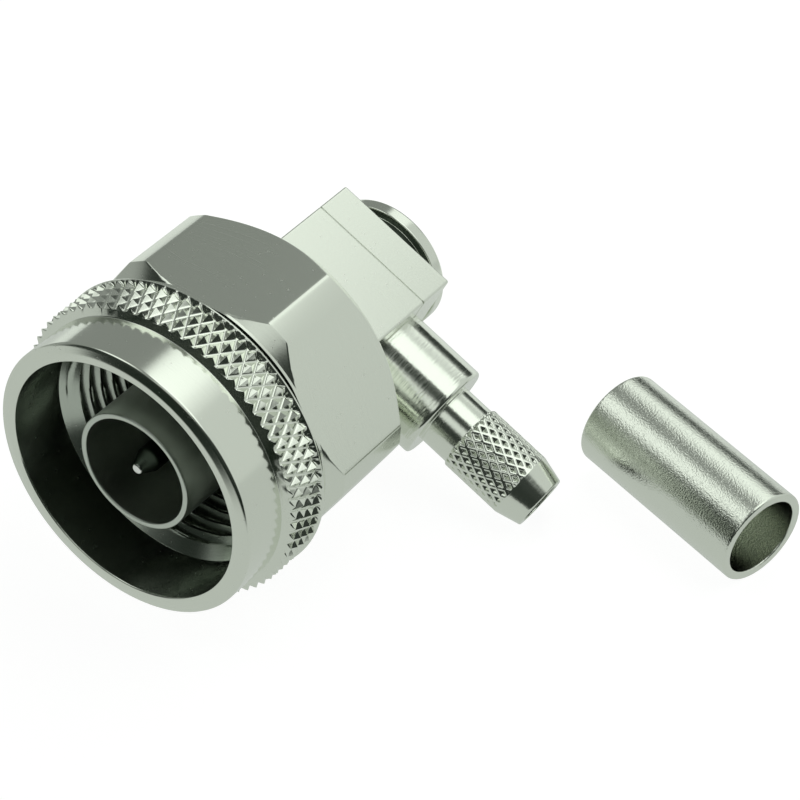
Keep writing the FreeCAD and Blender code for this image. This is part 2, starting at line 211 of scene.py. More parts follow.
def lathe(name, profile, columns, body, node, closed=True, axes=plug_axes, origin=plug_origin):
    """Turned piece from a profile of (radius, depth); an open profile starts and ends on the axis."""
    turns = np.linspace(0, 2 * math.pi, columns, endpoint=False)
    length = np.append(0, np.cumsum(np.linalg.norm(np.diff(profile, axis=0), axis=1)))
    if closed:
        rings = profile
    else:
        rings = profile[1:-1]
        length = length[1:-1]
    points = around(rings[:, :1], rings[:, 1:], turns).reshape(-1, 3)
    quads, steps = grid_faces(len(rings), columns, closed=closed)
    marks = np.append(length, length[-1] + 0.1)
    uv = np.stack([steps[..., 0] / columns, marks[steps[..., 1]]], -1)
    if closed:
        return add_piece(name, points, [quads], [uv], body, node, axes, origin)
    ends = around(0, profile[[0, -1], 1], 0)
    points = np.concatenate([points, ends])
    here = np.arange(columns)
    there = (here + 1) % columns
    last = (len(rings) - 1) * columns
    centre = len(points) - 2
    front = np.stack([there, here, np.full(columns, centre)], -1)
    rear = np.stack([here + last, there + last, np.full(columns, centre + 1)], -1)
    fan_turns = np.stack([here + 1, here, here + 0.5], -1) / columns
    front_length = np.broadcast_to([length[0], length[0], 0], (columns, 3))
    rear_length = np.broadcast_to([length[-1], length[-1], length[-1] + profile[-2, 0]], (columns, 3))
    front_uv = np.stack([fan_turns, front_length], -1)
    rear_uv = np.stack([fan_turns[:, [1, 0, 2]], rear_length], -1)
    return add_piece(name, points, [quads, front, rear], [uv, front_uv, rear_uv], body, node, axes, origin)


# %% [markdown]
# ## Diamond knurl
#
# A knurling tool presses two families of V grooves that cross, and leaves rows of small pyramids.
# With u counted round the rim and v counted along it, one cell each, the grooves lie where u + v
# or u - v is a whole number. The height is the smaller of the distances to the two families. A
# worn tool and the plating leave the grooves' bottoms flat, and a square root rounds their foot.

# %% Knurl height
def knurl_height(u, v, flat=0.12, rounding=0.08):
    """Height from 0 in the grooves to 1 on the points: the lesser distance to two groove families.

    The distance to the nearest whole number of u + v, and of u - v, is doubled and lessened by
    the flat share, and its lower end is rounded as (d + sqrt(d^2 + rounding^2)) / 2.
    """
    first = 2 * np.abs((u + v) - np.round(u + v)) - flat
    second = 2 * np.abs((u - v) - np.round(u - v)) - flat
    lesser = np.minimum(first, second)
    lifted = (lesser + np.sqrt(lesser ** 2 + rounding ** 2)) / 2
    return np.clip(lifted / (1 - flat), 0, 1)


# %% [markdown]
# ## Coupling nut
#
# The nut is one turning: a plain ring and band at the mouth, a steep step up to the knurled rim, a
# narrow undercut and a neck, and a hex milled out of a round collar, so that narrow strips of the
# collar are left between the flats. A flat at distance a from the axis has the radius
# a / cos(angle from its middle). The surface is the lesser of that and the turned profile, and
# rows of the grid follow the curves in which the flats cut the two cones, so that these edges
# stay crisp. Inside, the thread is a helix cut outwards from the bore: its radius depends on
# depth / pitch - turn / 360. The grid of the nut and the much finer grid of the knurl are
# stitched along two rings.

# %% Coupling nut sizes and columns
FLAT = 9.5
COLLAR = 10.55
NECK = 9.73
KNURL_REAR = 6.49
UNDERCUT = 9.27
UNDERCUT_REAR = 7.09
UNDERCUT_ROWS = 7
NECK_REAR = 7.29
CONE_REAR = NECK_REAR + COLLAR - NECK
HEX_REAR = 13.91
NUT_REAR = 15.21
REAR_FACE = 9.25
THREAD_PITCH = 1.058
THREAD_CREST = 7.40
THREAD_DEPTH = 0.56
THREAD_FRONT = 4.14
THREAD_REAR = 9.5
MOUTH_RADIUS = 8.30
MOUTH_REAR = 4.10

# Turn of the first flat's middle: one flat faces straight down when the plug lies at rest.
dip = math.atan2(-stem_axis[2], plug_axes[2][2])
strip_edge = math.degrees(math.acos(FLAT / COLLAR))
edge_steps = strip_edge + np.array([-1.3, -0.7, -0.3, 0, 0.3, 0.7, 1.6])
half = np.concatenate([np.linspace(0, strip_edge - 2.6, 10), edge_steps, [30]])
sector = np.concatenate([-half[:0:-1], half[:-1]])
from_flat = np.radians(np.tile(sector, 6))
nut_turns = from_flat + np.repeat(np.arange(6) * math.pi / 3, len(sector)) - dip
nut_columns = len(nut_turns)
print("dip", round(math.degrees(dip), 3), "columns", nut_columns)


# %% Coupling nut outside, behind the knurl
def lesser(a, b, blend=0.07):
    """Smaller of two values, rounded where they cross: min(a, b) - (blend - |a - b|)^2 / (4 blend)."""
    near = np.maximum(blend - np.abs(a - b), 0)
    return np.minimum(a, b) - near ** 2 / (4 * blend)


flat_radius = FLAT / np.cos(from_flat)
collar_radius = np.minimum(flat_radius, COLLAR)
front_edge = NECK_REAR + np.maximum(collar_radius - NECK, 0.25)
rear_edge = HEX_REAR + COLLAR - collar_radius
bevel = np.array([-0.14, -0.07, -0.03, 0, 0.03, 0.07, 0.14])
bevel_reach = bevel[-1]
neck_depth = np.array([6.49, 6.52, 6.6, 6.9, 7.05, 7.08, 7.09, 7.10, 7.13, 7.2, 7.26, 7.29, 7.32])
neck_rows = neck_depth[:, None] + 0 * flat_radius
cone_share = np.array([0.25, 0.5, 0.75])[:, None]
cone_rows = neck_depth[-1] + cone_share * (front_edge - bevel_reach - neck_depth[-1])
front_rows = front_edge + bevel[:, None]
flat_share = np.array([0.03, 0.25, 0.5, 0.75, 0.97])[:, None]
flat_rows = front_edge + bevel_reach + flat_share * (rear_edge - front_edge - 2 * bevel_reach)
rear_rows = rear_edge + bevel[:, None]
back_share = np.array([0.35, 0.7, 0.95])[:, None]
back_rows = rear_edge + bevel_reach + back_share * (NUT_REAR - 0.02 - rear_edge - bevel_reach)
outer_depth = np.concatenate([neck_rows, cone_rows, front_rows, flat_rows, rear_rows, back_rows])
turned_radius = np.interp(
    outer_depth,
    [KNURL_REAR, UNDERCUT_REAR - 0.01, UNDERCUT_REAR, NECK_REAR, CONE_REAR, HEX_REAR, NUT_REAR],
    [UNDERCUT, UNDERCUT, NECK, NECK, COLLAR, COLLAR, REAR_FACE])
outer_radius = lesser(turned_radius, flat_radius)
milled = flat_radius < turned_radius

# %% Coupling nut inside and front
rear_profile = rounded([
    (9.27, 15.19, 0), (9.23, NUT_REAR, 0.03), (6.28, NUT_REAR, 0.1), (6.28, 13.25, 0.05),
    (6.96, 13.25, 0.05), (6.96, 12.05, 0.05), (6.28, 12.05, 0.05), (6.28, 11.4, 0.05),
    (8.05, 11.4, 0.05), (8.05, 9.6, 0.05), (7.6, 9.55, 0.03)], closed=False)[1:-1]
thread_depth_rows = np.linspace(THREAD_REAR, THREAD_FRONT, 88)[:, None]
phase = thread_depth_rows / THREAD_PITCH - nut_turns / (2 * math.pi)
ramp = 2 * np.abs(phase - np.round(phase))
thread_radius = THREAD_CREST + THREAD_DEPTH * np.clip((ramp - 0.2) / 0.66, 0, 1)
mouth_cone = MOUTH_RADIUS - (thread_depth_rows - MOUTH_REAR)
thread_radius = np.maximum(thread_radius, mouth_cone)
front_profile = rounded([
    (8.26, THREAD_FRONT, 0.01), (MOUTH_RADIUS, MOUTH_REAR, 0.05), (MOUTH_RADIUS, 0, 0.12),
    (8.77, 0, 0.12), (9.46, 0.19, 0.14), (9.46, 3.34, 0.05), (9.93, 3.49, 0.01)], closed=False)[1:]
same_all_round = np.zeros_like(flat_radius)
main_radius = np.concatenate([
    outer_radius, rear_profile[:, :1] + same_all_round, thread_radius,
    front_profile[:, :1] + same_all_round])
main_depth = np.concatenate([
    outer_depth, rear_profile[:, 1:] + same_all_round, thread_depth_rows + same_all_round,
    front_profile[:, 1:] + same_all_round])
main_points = around(main_radius, main_depth, nut_turns)
print("main grid", main_radius.shape)

# %% Knurled rim
KNURL_CELLS = 72
KNURL_STEPS = 14
KNURL_RADIUS = 10.29
KNURL_DEPTH = 0.36
KNURL_CELL_LENGTH = 1.60
KNURL_FRONT = 3.60
STEP_FOOT = 3.50
STEP_RADIUS = 9.96
STEP_SLOPE = 3.2
knurl_columns = KNURL_CELLS * KNURL_STEPS
knurl_turns = nut_turns[0] + np.arange(knurl_columns) * 2 * math.pi / knurl_columns
step = KNURL_CELL_LENGTH / 24
rim_rows = [6.24, 6.28, 6.32, 6.35, 6.40, 6.45, 6.475, 6.49, 6.49]
knurl_depth = np.concatenate([[3.50, 3.53, 3.56], KNURL_FRONT + step * np.arange(40), rim_rows])[:, None]
knurl_u = (knurl_turns - knurl_turns[0]) * KNURL_CELLS / (2 * math.pi)
height = knurl_height(knurl_u, (knurl_depth - KNURL_FRONT) / KNURL_CELL_LENGTH)
knurl_wave = KNURL_RADIUS - KNURL_DEPTH * (1 - height)
steep_front = STEP_RADIUS + (knurl_depth - STEP_FOOT) * STEP_SLOPE
plain_rim = np.interp(knurl_depth, [6.40, 6.45, 6.475, 6.49], [10.29, 10.28, 10.26, 10.22])
plain_rim[-1] = 9.80
fade = np.clip((knurl_depth - 6.15) / 0.19, 0, 1)
knurl_wave = knurl_wave + fade * (KNURL_RADIUS - knurl_wave)
knurl_radius = np.minimum(np.minimum(knurl_wave, steep_front), plain_rim)
knurl_points = around(knurl_radius, knurl_depth, knurl_turns)
print("knurl grid", knurl_radius.shape)

# %% Coupling nut mesh
main_rows = len(main_radius)
knurl_rows = len(knurl_radius)
knurl_first = main_rows * nut_columns
quads, steps = grid_faces(main_rows, nut_columns)
knurl_quads, knurl_steps = grid_faces(knurl_rows, knurl_columns, first=knurl_first)
front_ring = knurl_first - nut_columns
rear_ring = knurl_first + (knurl_rows - 1) * knurl_columns
front_seam = stitch(nut_turns, front_ring, knurl_turns, knurl_first)
rear_seam = stitch(knurl_turns, rear_ring, nut_turns, 0)

# Each knurl quad is split along the diagonal whose middle lies nearer to the true height.
corner_u = knurl_steps[..., 0] / KNURL_STEPS
corner_radius = knurl_radius.reshape(-1)[knurl_quads - knurl_first]
corner_depth = np.broadcast_to(knurl_depth, knurl_radius.shape).reshape(-1)[knurl_quads - knurl_first]
middle_height = knurl_height(corner_u.mean(1), (corner_depth.mean(1) - KNURL_FRONT) / KNURL_CELL_LENGTH)
middle_radius = KNURL_RADIUS - KNURL_DEPTH * (1 - middle_height)
first_miss = np.abs(corner_radius[:, [0, 2]].mean(1) - middle_radius)
second_miss = np.abs(corner_radius[:, [1, 3]].mean(1) - middle_radius)
use_first = (first_miss <= second_miss)[:, None]
order = np.where(use_first, [[0, 1, 2, 0, 2, 3]], [[0, 1, 3, 1, 2, 3]])
knurl_triangles = np.take_along_axis(knurl_quads, order, 1).reshape(-1, 3)
knurl_order_steps = np.take_along_axis(knurl_steps, order[:, :, None], 1).reshape(-1, 3, 2)

row_steps = np.diff(np.stack([main_radius.mean(1), main_depth.mean(1)], -1), axis=0)
main_length = np.append(0, np.cumsum(np.linalg.norm(row_steps, axis=1)))
main_turn = np.append(nut_turns, nut_turns[0] + 2 * math.pi) / (2 * math.pi)
main_uv = np.stack([main_turn[steps[..., 0]], main_length[steps[..., 1]]], -1)
knurl_turn = np.append(knurl_turns, knurl_turns[0] + 2 * math.pi) / (2 * math.pi)
knurl_uv = np.stack([
    knurl_turn[knurl_order_steps[..., 0]], knurl_depth[:, 0][knurl_order_steps[..., 1]]], -1)
seam_uv = [np.zeros((len(front_seam), 3, 2)), np.zeros((len(rear_seam), 3, 2))]
nut_points = np.concatenate([main_points.reshape(-1, 3), knurl_points.reshape(-1, 3)])
quad_row = steps[:, 0, 1]
on_flat = (quad_row < len(outer_radius) - 1) & milled.reshape(-1)[np.minimum(quads, milled.size - 1)].all(1)
in_undercut = quad_row < UNDERCUT_ROWS
row_in_bore = (main_radius.mean(1) < MOUTH_RADIUS + 0.02) & (main_depth.mean(1) > 0.1)
in_bore = row_in_bore[quad_row] & np.roll(row_in_bore, -1)[quad_row]

# The numbers are places in the list of the nut's materials: turned, milled, knurled, undercut with painted shade,
# bore with painted shade.
nut_paint = [
    np.select([in_undercut, on_flat, in_bore], [3, 1, 4], 0), np.full(len(knurl_triangles), 2),
    np.zeros(len(front_seam)), np.zeros(len(rear_seam))]
nut_faces = [quads, knurl_triangles, front_seam, rear_seam]
coupling_nut = add_piece(
    "nut_turned", nut_points, nut_faces, [main_uv, knurl_uv] + seam_uv, "nut", "coupling_nut",
    plug_axes, plug_origin, nut_paint, sharp=35)

# %% [markdown]
# ## Contact body
#
# A thin sleeve carries the outer contact, and widens behind it to the hub that the nut turns on.
# Only the sleeve shows, deep in the nut's mouth, so its rim gets a fine rounding.

# %% Contact body
contact_profile = rounded([
    (3.695, 1.165, 0.10), (4.075, 1.165, 0.10), (4.075, 9.6, 0.02), (4.375, 9.6, 0.05),
    (4.375, 10.6, 0.02), (6.20, 10.6, 0.05), (6.20, 12.15, 0.03), (5.62, 12.15, 0.03),
    (5.62, 13.15, 0.03), (6.20, 13.15, 0.03), (6.20, 15.55, 0.12), (4.30, 15.55, 0.05),
    (4.30, 12.75, 0.05), (3.695, 12.75, 0.05)])
contact_body = lathe("contact_turned", contact_profile, 192, "root", "contact_body")

# %% [markdown]
# ## Centre pin
#
# The pin's point is a small rounded nose on a cone. Its shoulder and tail lie inside the plug.

# %% Centre pin
POINT_LENGTH = 0.34
pin_profile = rounded([
    (0, 1.445, 0), (0.32, 1.445, 0.20), (0.83, 2.595, 0.12), (0.83, 6.90, 0.03), (1.52, 6.90, 0.10),
    (1.52, 10.37, 0.03), (1.15, 10.37, 0.03), (1.15, 22.30, 0.10), (0, 22.30, 0)], closed=False)
centre_pin = lathe("pin_turned", pin_profile, 96, "root", "centre_pin", closed=False)

# %% [markdown]
# ## Elbow block
#
# The block is a square bar with a bore through it. Each of its rings is a square with rounded
# corners, as a radius at each turn: half width / cos(angle from the side's middle) along a side,
# and the far side of a small circle in a corner. A fine groove runs round the block where the
# rear part was pressed on.

# %% Elbow block
BLOCK_HALF = 4.53
BLOCK_FRONT = 15.55
BLOCK_REAR = 25.53
BLOCK_EDGE = 0.12
half_corner = np.array([0.06, 0.18, 0.3, 0.44, 0.66, 1.0])
corner_steps = 45 + np.concatenate([-half_corner[::-1], half_corner])
side_turns = np.concatenate([np.linspace(-43, 43, 23), corner_steps])
block_turns = np.radians(np.concatenate([side_turns + 90 * side for side in range(4)]))
beside = (block_turns + math.pi / 4) % (math.pi / 2) - math.pi / 4
square = 1 / np.cos(beside)


def square_ring(half_width, rounding):
    """Radius at each turn of a square with that half width and round corners.

    A corner's circle has its centre on the diagonal, sqrt(2) (half width - rounding) out, and the
    radius is the share of that along the turn plus sqrt(rounding^2 - its share across^2).
    """
    straight = half_width * square
    corner = half_width - rounding
    diagonal = math.pi / 4 - np.abs(beside)
    along = math.sqrt(2) * corner * np.cos(diagonal)
    across = math.sqrt(2) * corner * np.sin(diagonal)
    arc = along + np.sqrt(np.maximum(rounding ** 2 - across ** 2, 0))
    on_corner = straight * np.sin(np.abs(beside)) > corner
    return np.where(on_corner, arc, straight)


# The outer profile is (inset, depth), with the seam's groove 0.06 mm deep.
outer_part = rounded([
    (-0.6, BLOCK_FRONT, 0), (0, BLOCK_FRONT, 0.10), (0, 22.71, 0.03), (-0.06, 22.71, 0.02),
    (-0.06, 22.83, 0.02), (0, 22.83, 0.03), (0, BLOCK_REAR, 0.10), (-0.6, BLOCK_REAR, 0)], closed=False)
block_outer = np.array([square_ring(BLOCK_HALF + inset, BLOCK_EDGE) for inset in outer_part[:, 0]])
bore_profile = np.array([
    (3.70, BLOCK_REAR), (3.70, 24.05), (3.69, 24.03), (3.22, 24.03), (3.20, 24.0), (3.20, 15.58),
    (3.22, BLOCK_FRONT)])
block_bore = bore_profile[:, :1] + 0 * block_turns
block_radius = np.concatenate([block_outer, block_bore])
block_depth = np.concatenate([outer_part[:, 1:], bore_profile[:, 1:]]) + 0 * block_turns
block_points = around(block_radius, block_depth, block_turns)
block_quads, block_steps = grid_faces(len(block_radius), len(block_turns), closed=True)
turn_marks = np.append(block_turns, block_turns[0] + 2 * math.pi) / (2 * math.pi)
depth_marks = np.append(block_depth[:, 0], block_depth[0, 0])
block_uv = np.stack([turn_marks[block_steps[..., 0]], depth_marks[block_steps[..., 1]]], -1)
elbow_block = add_piece(
    "block_milled", block_points, [block_quads], [block_uv], "root", "elbow_block",
    plug_axes, plug_origin, sharp=40)

# %% [markdown]
# ## Rear cap
#
# The cap closes the chamber in which the wire is soldered to the pin. Under its round flange a
# neck leaves a shadow gap.

# %% Rear cap
CAP_NECK = 4.00
FLANGE_FRONT = 26.33
cap_profile = rounded([
    (0, 24.03, 0), (3.69, 24.03, 0.05), (3.69, BLOCK_REAR, 0.02), (CAP_NECK, BLOCK_REAR, 0.05),
    (CAP_NECK, FLANGE_FRONT, 0.05), (4.56, FLANGE_FRONT, 0.10), (4.56, 27.23, 0.16),
    (0, 27.23, 0)], closed=False)
rear_cap = lathe("cap_turned", cap_profile, 144, "root", "rear_cap", closed=False)

# %% [markdown]
# ## Crimp stem
#
# The stem is a thick collar, a plain tube, a knurled length that grips the cable's braid, and a
# tapered nose. Its knurl is pressed the other way round: the same height is taken off, so that a
# smooth net of bars stays at the full radius with rows of pits between them.

# %% Crimp stem
STEM_CELLS = 23
STEM_STEPS = 14
STEM_CELL_LENGTH = 1.02
STEM_KNURL_FRONT = 12.24
STEM_PIT_DEPTH = 0.20
STEM_BORE = 1.55
STEM_TUBE = 2.16
STEM_TIP = 18.35
COLLAR_RADIUS = 3.40
CABLE_DEPTH = 21.0
stem_columns = STEM_CELLS * STEM_STEPS
stem_turns = np.arange(stem_columns) * 2 * math.pi / stem_columns

# Two corners close to each end of the knurl keep the tube's and the nose's shading clear of it.
stem_front = rounded([
    (STEM_BORE, STEM_TIP, 0.04), (STEM_BORE, 6.00, 0.03), (2.20, 6.00, 0.03), (2.20, 3.20, 0.03),
    (2.89, 3.20, 0.03), (2.89, BLOCK_HALF, 0.03), (COLLAR_RADIUS, BLOCK_HALF, 0.03),
    (COLLAR_RADIUS, 9.99, 0.26), (STEM_TUBE, 9.99, 0.06), (STEM_TUBE, 11.98, 0.02),
    (STEM_TUBE, 12.05, 0.015), (STEM_TUBE, 12.10, 0)], closed=False)[1:-1]
stem_rear = rounded([
    (2.32, 16.63, 0), (2.310, 16.67, 0.01), (2.294, 16.73, 0.01), (1.88, STEM_TIP, 0.16),
    (STEM_BORE, STEM_TIP, 0.06), (STEM_BORE, 17.0, 0)], closed=False)[1:-1]
stem_cell_rows = STEM_KNURL_FRONT + STEM_CELL_LENGTH / 16 * np.arange(69)
stem_knurl_depth = np.concatenate([[12.12, 12.18], stem_cell_rows, [16.60, 16.63]])
fade_in = np.clip((stem_knurl_depth - 12.10) / 0.14, 0, 1)
fade_out = np.clip((16.62 - stem_knurl_depth) / 0.10, 0, 1)
stem_cells = (stem_knurl_depth[:, None] - STEM_KNURL_FRONT) / STEM_CELL_LENGTH
stem_pits = knurl_height(stem_turns * STEM_CELLS / (2 * math.pi), stem_cells, flat=0.36, rounding=0.10)
stem_envelope = np.interp(stem_knurl_depth, [12.12, 12.26, 16.60, 16.63], [2.17, 2.32, 2.32, 2.315])
stem_knurl = stem_envelope[:, None] - STEM_PIT_DEPTH * (fade_in * fade_out)[:, None] * stem_pits
stem_radius = np.concatenate([
    stem_front[:, :1] + 0 * stem_turns, stem_knurl, stem_rear[:, :1] + 0 * stem_turns])
stem_depth = np.concatenate([stem_front[:, 1], stem_knurl_depth, stem_rear[:, 1]])
stem_points = around(stem_radius, stem_depth[:, None], stem_turns)
stem_quads, stem_steps = grid_faces(len(stem_radius), stem_columns, closed=True)
stem_length = np.append(0, np.cumsum(np.hypot(np.diff(stem_radius.mean(1)), np.diff(stem_depth))))
stem_marks = np.append(stem_length, stem_length[-1] + 0.1)
stem_uv = np.stack([stem_steps[..., 0] / stem_columns, stem_marks[stem_steps[..., 1]]], -1)
stem_axes = np.array([-plug_axes[1], plug_axes[0], plug_axes[2]])
stem_origin = plug_origin + 0.001 * CABLE_DEPTH * plug_axes[1]
crimp_stem = add_piece(
    "stem_turned", stem_points, [stem_quads], [stem_uv], "root", "crimp_stem",
    stem_axes, stem_origin, sharp=35)

# %% [markdown]
# ## Crimp ferrule
#
# A plain thin tube, cut off and tumbled, so that both of its ends are rounded inside and out.

# %% Crimp ferrule
ferrule_profile = rounded([(2.65, 0, 0.14), (3.25, 0, 0.16), (3.25, 13.3, 0.16), (2.65, 13.3, 0.14)])
crimp_ferrule = lathe(
    "ferrule_turned", ferrule_profile, 160, "root", "crimp_ferrule",
    axes=ferrule_axes, origin=ferrule_origin)


# %% [markdown]
# ## Metal surfaces
#
# Three shared effects serve the metals, and the plastics share one of them. Tool marks are noise
# that changes along the profile and hardly round it, so they run round a turned piece. Plating
# grain is a fine pebbled noise with a few specks. Scratches are thin streaks, cut out of
# stretched noise with a narrow threshold.

# %% Shared effects
def new_group(name, inputs, outputs):
    """Node group with named inputs (label, kind, value) and outputs (label, kind)."""
    group = bpy.data.node_groups.new(name, "ShaderNodeTree")
    for label, kind, value in inputs:
        socket = group.interface.new_socket(name=label, in_out="INPUT", socket_type=kind)
        if value is not None:
            socket.default_value = value
    for label, kind in outputs:
        group.interface.new_socket(name=label, in_out="OUTPUT", socket_type=kind)
    return group, group.nodes.new("NodeGroupInput"), group.nodes.new("NodeGroupOutput")


def add_math(tree, operation, first, second=None, third=None):
    """Math node whose inputs are sockets or numbers; gives its output socket."""
    node = tree.nodes.new("ShaderNodeMath")
    node.operation = operation
    for index, value in enumerate((first, second, third)):
        if isinstance(value, (int, float)):
            node.inputs[index].default_value = value
        elif value is not None:
            tree.links.new(value, node.inputs[index])
    return node.outputs[0]


def add_noise(tree, vector, scale, detail=2.0, roughness=0.5):
    """Noise of a vector socket; gives its factor socket."""
    node = tree.nodes.new("ShaderNodeTexNoise")
    node.inputs["Scale"].default_value = scale
    node.inputs["Detail"].default_value = detail
    node.inputs["Roughness"].default_value = roughness
    tree.links.new(vector, node.inputs["Vector"])
    return node.outputs["Fac"]


def add_combine(tree, x, y, z=0.0):
    """Vector from three sockets or numbers."""
    node = tree.nodes.new("ShaderNodeCombineXYZ")
    for index, value in enumerate((x, y, z)):
        if isinstance(value, (int, float)):
            node.inputs[index].default_value = value
        else:
            tree.links.new(value, node.inputs[index])
    return node.outputs[0]


def add_band(tree, value, low, high):
    """Smooth step from 0 at low to 1 at high."""
    node = tree.nodes.new("ShaderNodeMapRange")
    node.interpolation_type = "SMOOTHSTEP"
    node.inputs["From Min"].default_value = low
    node.inputs["From Max"].default_value = high
    tree.links.new(value, node.inputs["Value"])
    return node.outputs["Result"]


def add_bump(tree, height, distance, normal=None):
    """Bump of a height socket, this many metres high, over an earlier normal; gives its normal."""
    node = tree.nodes.new("ShaderNodeBump")
    node.inputs["Strength"].default_value = 1.0
    node.inputs["Distance"].default_value = distance
    tree.links.new(height, node.inputs["Height"])
    if normal is not None:
        tree.links.new(normal, node.inputs["Normal"])
    return node.outputs["Normal"]


tool_marks, group_in, group_out = new_group(
    "Tool marks",
    [("Coordinates", "NodeSocketVector", None), ("Marks per mm", "NodeSocketFloat", 8.0)],
    [("Height", "NodeSocketFloat"), ("Streak", "NodeSocketFloat")])
split = tool_marks.nodes.new("ShaderNodeSeparateXYZ")
tool_marks.links.new(group_in.outputs["Coordinates"], split.inputs[0])
along = add_math(tool_marks, "MULTIPLY", split.outputs[1], group_in.outputs["Marks per mm"])
turn = add_math(tool_marks, "MULTIPLY", split.outputs[0], 26.0)
slow_turn = add_math(tool_marks, "MULTIPLY", turn, 0.12)
close_along = add_math(tool_marks, "MULTIPLY", along, 1.7)
fine = add_noise(tool_marks, add_combine(tool_marks, slow_turn, along), 1.0, 3.0, 0.65)
broken = add_noise(tool_marks, add_combine(tool_marks, turn, close_along), 1.0, 2.0, 0.6)
fine_share = add_math(tool_marks, "MULTIPLY", fine, 0.6)
broken_share = add_math(tool_marks, "MULTIPLY", broken, 0.4)
tool_marks.links.new(add_math(tool_marks, "ADD", fine_share, broken_share), group_out.inputs["Height"])
tool_marks.links.new(broken, group_out.inputs["Streak"])

grain, group_in, group_out = new_group(
    "Plating grain",
    [("Position", "NodeSocketVector", None), ("Grains per metre", "NodeSocketFloat", 7000.0)],
    [("Height", "NodeSocketFloat"), ("Patch", "NodeSocketFloat"), ("Speck", "NodeSocketFloat")])
scaled = grain.nodes.new("ShaderNodeVectorMath")
scaled.operation = "SCALE"
grain.links.new(group_in.outputs["Position"], scaled.inputs[0])
grain.links.new(group_in.outputs["Grains per metre"], scaled.inputs["Scale"])
pebble = add_noise(grain, scaled.outputs[0], 1.0, 2.0, 0.55)
patch = add_noise(grain, scaled.outputs[0], 0.06, 3.0, 0.6)
pit = add_noise(grain, scaled.outputs[0], 0.5, 1.0, 0.5)
grain.links.new(pebble, group_out.inputs["Height"])
grain.links.new(patch, group_out.inputs["Patch"])
grain.links.new(add_band(grain, pit, 0.72, 0.78), group_out.inputs["Speck"])

scratches, group_in, group_out = new_group(
    "Scratches", [("Coordinates", "NodeSocketVector", None), ("Stretch", "NodeSocketFloat", 40.0)],
    [("Mask", "NodeSocketFloat")])
split = scratches.nodes.new("ShaderNodeSeparateXYZ")
scratches.links.new(group_in.outputs["Coordinates"], split.inputs[0])
stretched = add_math(scratches, "MULTIPLY", split.outputs[1], group_in.outputs["Stretch"])
streak = add_noise(scratches, add_combine(scratches, split.outputs[0], stretched), 1.0, 1.0, 0.5)
scratches.links.new(add_band(scratches, streak, 0.69, 0.72), group_out.inputs["Mask"])
print("node groups:", ", ".join(group.name for group in bpy.data.node_groups))

# %% [markdown]
# ## Materials
#
# Nearly all that shows is nickel plate, so one function makes every kind of it, and the kinds differ
# in roughness, in the spacing and height of the tool marks, and in the plating's grain. The marks
# and the grain are bumps, one over the other, because both are finer than the mesh. Deep in the
# bore, on the contact sleeve, in the undercut and on the cap's neck the nickel is given a darker colour as painted
# shade. The seals and insulators are plain plastic and rubber with a grain of their own.

# %% Material tools
NICKEL_COLOR = (0.80, 0.83, 0.755)


def new_material(name):
    """Material with a Principled shader; gives the material, its tree and the shader."""
    material = bpy.data.materials.new(name)
    material.use_nodes = True
    tree = material.node_tree
    return material, tree, tree.nodes["Principled BSDF"]


def use_group(tree, group, **values):
    """Node that uses a shared effect, with the inputs given by name as sockets or numbers."""
    node = tree.nodes.new("ShaderNodeGroup")
    node.node_tree = group
    for label, value in values.items():
        socket = node.inputs[label.replace("_", " ")]
        if isinstance(value, (int, float)):
            socket.default_value = value
        else:
            tree.links.new(value, socket)
    return node


def nickel(
        name, roughness, marks_per_mm, marks_height, grain_height, grains=7000.0, color=NICKEL_COLOR,
        scratched=0.0):
    """Nickel plate over tool marks: two bumps and a small change of roughness along the marks.

    The roughness is the given one times a factor from 0.85 to 1.15, plus 0.15 in the specks. Where
    it is scratched, thin streaks that run along the piece are rougher than the rest.
    """
    material, tree, shader = new_material(name)
    shader.inputs["Base Color"].default_value = (*color, 1)
    shader.inputs["Metallic"].default_value = 1.0
    coordinates = tree.nodes.new("ShaderNodeTexCoord")
    marks = use_group(tree, tool_marks, Coordinates=coordinates.outputs["UV"], Marks_per_mm=marks_per_mm)
    plating = use_group(tree, grain, Position=coordinates.outputs["Object"], Grains_per_metre=grains)
    marks_normal = add_bump(tree, marks.outputs["Height"], marks_height)
    grain_normal = add_bump(tree, plating.outputs["Height"], grain_height, marks_normal)
    tree.links.new(grain_normal, shader.inputs["Normal"])
    rough = add_math(tree, "MULTIPLY_ADD", marks.outputs["Streak"], 0.3 * roughness, 0.85 * roughness)
    rough = add_math(tree, "MULTIPLY_ADD", plating.outputs["Speck"], 0.15, rough)
    if scratched:
        streaks = use_group(tree, scratches, Coordinates=coordinates.outputs["UV"])
        rough = add_math(tree, "MULTIPLY_ADD", streaks.outputs["Mask"], scratched, rough)
    tree.links.new(rough, shader.inputs["Roughness"])
    return material


bright_nickel = nickel("Turned bright nickel", 0.14, 6.0, 2.5e-6, 6e-7)
flat_nickel = nickel("Milled bright nickel", 0.20, 4.0, 6e-6, 1.2e-6, scratched=0.2)
knurl_nickel = nickel("Knurled bright nickel", 0.13, 3.0, 3e-7, 8e-7)
# Painted shade: near-black nickel for the nut's undercut and the cap's neck under its flange.
recess_shade_nickel = nickel("Recess nickel with painted shade", 0.45, 5.0, 2e-6, 2e-6, color=(0.06, 0.075, 0.06))
block_nickel = nickel("Block nickel", 0.24, 5.0, 2e-6, 3e-6, scratched=0.12)
